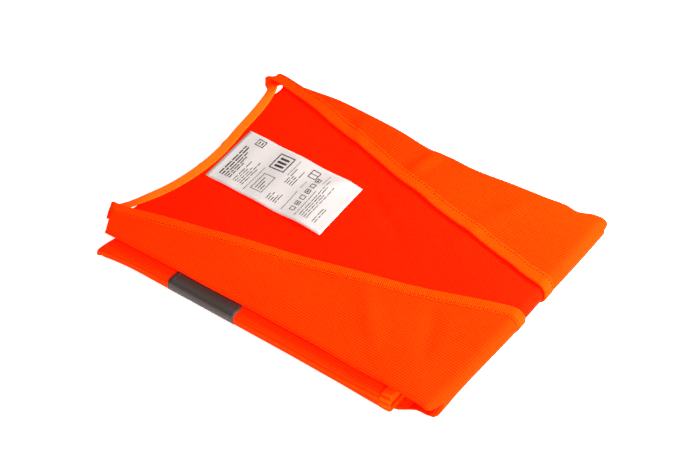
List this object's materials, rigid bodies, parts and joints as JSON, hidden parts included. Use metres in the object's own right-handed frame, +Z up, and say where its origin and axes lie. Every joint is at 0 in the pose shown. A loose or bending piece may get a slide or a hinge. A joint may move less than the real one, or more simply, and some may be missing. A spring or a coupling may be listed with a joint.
{
  "type": "high visibility vest",
  "caption": "Knitted safety vest folded flat in three, with reflective tape bands, bound neck and front edges, side flaps folded behind and a sewn-in care label.",
  "frame": {"origin": "middle of the packet's footprint on the surface it lies on", "axes": "+Z up, +Y along the garment towards its neck, +X towards the wearer's left"},
  "size_m": [0.1888, 0.2633, 0.0145],
  "materials": {
    "warp_knit": "fluorescent orange-red polyester warp knit",
    "binding_tape": "fluorescent orange plain-woven binding",
    "reflective_tape": "glass bead retroreflective tape on cloth",
    "hook_and_loop": "hook and loop fastener",
    "label_satin": "off-white polyester satin"
  },
  "bodies": {
    "lower_pack": {"right_front_middle": "warp_knit", "left_front_middle": "warp_knit", "back_middle": "warp_knit", "right_front_binding_middle": "binding_tape", "left_front_binding_middle": "binding_tape", "upper_tape_right_front": "reflective_tape", "upper_tape_left_front": "reflective_tape", "upper_tape_back": "reflective_tape", "hook_patch": "hook_and_loop", "loop_patch": "hook_and_loop", "right_side_seam_middle": "warp_knit", "left_side_seam_middle": "warp_knit", "right_front_hem": "warp_knit", "left_front_hem": "warp_knit", "back_hem": "warp_knit", "right_front_binding_hem": "binding_tape", "left_front_binding_hem": "binding_tape", "lower_tape_right_front": "reflective_tape", "lower_tape_left_front": "reflective_tape", "lower_tape_back": "reflective_tape", "hem_binding_right_front": "binding_tape", "hem_binding_left_front": "binding_tape", "hem_binding_back": "binding_tape", "right_side_seam_hem": "warp_knit", "left_side_seam_hem": "warp_knit", "main_fold_right_front": "warp_knit", "main_fold_left_front": "warp_knit", "main_fold_back": "warp_knit", "main_fold_right_binding": "binding_tape", "main_fold_left_binding": "binding_tape", "hem_fold_right_front": "warp_knit", "hem_fold_left_front": "warp_knit", "hem_fold_back": "warp_knit", "hem_fold_right_binding": "binding_tape", "hem_fold_left_binding": "binding_tape"},
    "upper_third": {"right_front_upper": "warp_knit", "left_front_upper": "warp_knit", "back_upper": "warp_knit", "back_neck_binding": "binding_tape", "right_front_binding_upper": "binding_tape", "left_front_binding_upper": "binding_tape", "right_armhole_binding": "binding_tape", "left_armhole_binding": "binding_tape", "right_shoulder_seam": "warp_knit", "left_shoulder_seam": "warp_knit"},
    "care_label": {"care_label": "label_satin"}
  },
  "joints": [
    {"name": "upper_third_unfold", "type": "hinge", "parent": "lower_pack", "child": "upper_third", "pos_m": [0, -0.12462, 0.00725], "axis": [1, 0, 0], "range_deg": [0, 180], "deforming": ["main_fold_right_front", "main_fold_left_front", "main_fold_back", "main_fold_right_binding", "main_fold_left_binding"]},
    {"name": "label_flip", "type": "hinge", "parent": "upper_third", "child": "care_label", "pos_m": [0.0115, 0.10088, 0.01298], "axis": [-1, 0, 0], "range_deg": [0, 180]}
  ]
}
